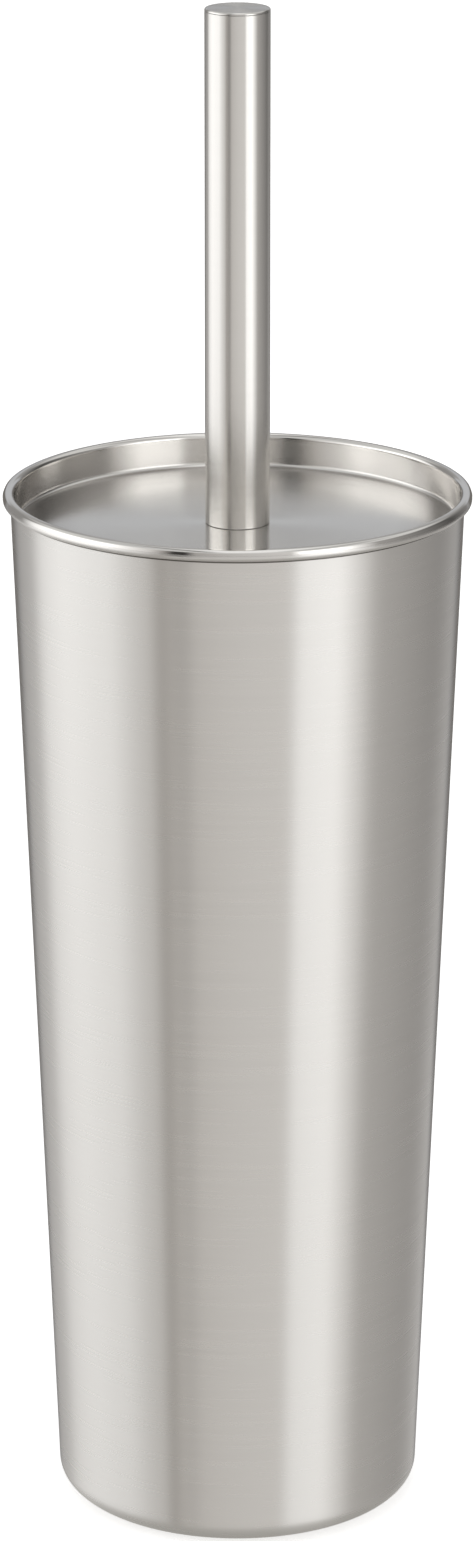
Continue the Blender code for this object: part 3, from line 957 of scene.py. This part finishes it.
# degrees from the camera's side, positive to the right; brightness; how warm
UPPER_RING = (
    (-180, 0.42, 0.1), (-150, 0.30, 0.3), (-128, 0.30, 0.3), (-116, 1.14, 0.0), (-100, 1.50, 0.0),
    (-68, 1.50, 0.0), (-54, 1.00, 0.1), (-44, 0.72, 0.3), (-37, 0.36, 0.7), (-32, 0.05, 0.8),
    (-26, 0.04, 0.8), (-21, 0.42, 0.5), (-8, 0.54, 0.4), (8, 0.62, 0.3), (27, 0.70, 0.3),
    (32, 1.52, 0.0), (52, 1.68, 0.0), (62, 1.00, 0.1), (73, 0.38, 0.4), (100, 0.22, 0.4),
    (126, 0.09, 0.4), (150, 0.26, 0.3), (180, 0.42, 0.1))
LOWER_RING = (
    (-180, 0.78, 0.3), (-168, 0.72, 0.3), (-157, 0.46, 0.3), (-140, 0.68, 0.2), (-122, 0.82, 0.1),
    (-95, 0.84, 0.0), (-68, 0.69, 0.1), (-54, 0.61, 0.3), (-47, 0.62, 0.4), (-43, 0.36, 0.9),
    (-40, 0.36, 0.9), (-35, 0.86, 0.6), (-28, 0.88, 0.5), (-20, 0.86, 0.5), (6, 0.88, 0.4),
    (26, 0.88, 0.4), (29, 0.94, 0.1), (46, 1.00, 0.0), (58, 1.02, 0.1), (69, 0.90, 0.2),
    (82, 0.56, 0.4), (100, 0.50, 0.4), (125, 0.45, 0.4), (150, 0.60, 0.3), (166, 0.72, 0.3),
    (180, 0.78, 0.3))
# left to right as a share of the height, brightness, how warm
OVERHEAD = (
    (-1.0, 0.52, 0.0), (-0.48, 0.62, 0.0), (-0.36, 0.58, 0.0), (-0.30, 0.46, 0.2),
    (-0.25, 0.24, 0.3), (-0.21, 0.24, 0.3), (-0.17, 0.66, 0.0), (-0.08, 0.98, 0.0),
    (0.24, 0.96, 0.0), (0.38, 0.55, 0.2), (1.0, 0.45, 0.2))
COVE = (0.72, 0.72, 0.71, 1.0)
NEAR_FLOOR = (0.43, 0.42, 0.40, 1.0)
BACKDROP = (0.54, 0.55, 0.57, 1.0)
LOW_BACKDROP = (0.44, 0.45, 0.47, 1.0)
TABLE_EDGE = (0.18, 0.17, 0.16, 1.0)
WHITE = (1.0, 1.0, 1.0, 1.0)


def strip_stops(strip, low, high):
    """A strip of lights as ramp stops: places from low to high, colours from white towards warm."""
    stops = []
    for place, brightness, warmth in strip:
        colour = [brightness * (b + (w - b) * warmth) for b, w in zip(BRIGHT, WARM)]
        stops.append(((place - low) / (high - low), (*colour, 1.0)))
    return stops


world = bpy.data.worlds.new("studio")
bpy.context.scene.world = world
studio = Tree(world)
x, y, z = studio.parts(studio.node("ShaderNodeTexCoord", None, None, "Generated"))
side = x.maths("ARCTAN2", x, y * -1.0) / (2 * pi) + 0.5
upper_stops = {"stops": strip_stops(UPPER_RING, -180, 180)}
lower_stops = {"stops": strip_stops(LOWER_RING, -180, 180)}
upper = studio.node("ShaderNodeValToRGB", upper_stops, {"Fac": side})
lower = studio.node("ShaderNodeValToRGB", lower_stops, {"Fac": side})
surround = studio.blend(studio.between(z, -0.34, -0.16), lower, upper)
surround = studio.blend(studio.between(z, 0.45, 0.62), surround, COVE)
across = x / z.maths("MAXIMUM", z, 0.5) * 0.5 + 0.5
overhead_stops = {"stops": strip_stops(OVERHEAD, -1, 1)}
overhead = studio.node("ShaderNodeValToRGB", overhead_stops, {"Fac": across})
surround = studio.blend(studio.between(z, 0.72, 0.84), surround, overhead)
surround = studio.blend(studio.between(z, -0.42, -0.72), surround, NEAR_FLOOR)
behind = studio.between(y, 0.84, 0.90)
surround = studio.blend(behind * studio.between(z, 0.34, 0.28), surround, BACKDROP)
surround = studio.blend(behind * studio.between(z, 0.24, 0.18), surround, LOW_BACKDROP)
surround = studio.blend(behind * studio.between(z, 0.15, 0.11), surround, TABLE_EDGE)
seen = studio.node("ShaderNodeLightPath", None, None, "Is Camera Ray")
colour = studio.blend(seen, surround, WHITE)
light = studio.node("ShaderNodeBackground", None, {"Color": colour, "Strength": 1.0})
studio.node("ShaderNodeOutputWorld", None, {"Surface": light})
bpy.context.scene.view_settings.view_transform = "Standard"
print("studio rings have", len(UPPER_RING), "and", len(LOWER_RING), "steps")

# %% Floor
FLOOR_SIZE = 12.0
FLOOR_Z = -0.0001              # a hair under the foot, so that the two don't touch
floor_mesh = bpy.data.meshes.new("floor")
half = FLOOR_SIZE / 2
floor_mesh.from_pydata(
    [(-half, -half, FLOOR_Z), (half, -half, FLOOR_Z),
     (half, half, FLOOR_Z), (-half, half, FLOOR_Z)],
    [], [(0, 1, 2, 3)])
floor = bpy.data.objects.new("floor", floor_mesh)
bpy.context.scene.collection.objects.link(floor)
floor.visible_glossy = False
floor_card = finish_of(
    "white_card", clouded((0.90, 0.90, 0.90, 1), (0.92, 0.92, 0.92, 1), 5.0),
    clouded(0.85, 0.95, 5.0),
    Emission_Color=(1.0, 1.0, 1.0, 1.0), Emission_Strength=0.55)
floor_mesh.materials.append(floor_card)
floor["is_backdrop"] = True
print("floor", FLOOR_SIZE, "m across")

# %% [markdown]
# ## Last checks
#
# The finished model must not outgrow the CAD model, so both boxes are written side by side.

# %% Sizes of both models
VISUAL_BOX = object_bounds()


def plain(value):
    """Vectors and tuples as plain lists of numbers."""
    return [plain(part) for part in value] if hasattr(value, "__len__") else float(value)


{"cad": plain(CAD_BOX), "visual": plain(VISUAL_BOX)}
print("CAD box", plain(CAD_BOX))
print("visual box", plain(VISUAL_BOX))
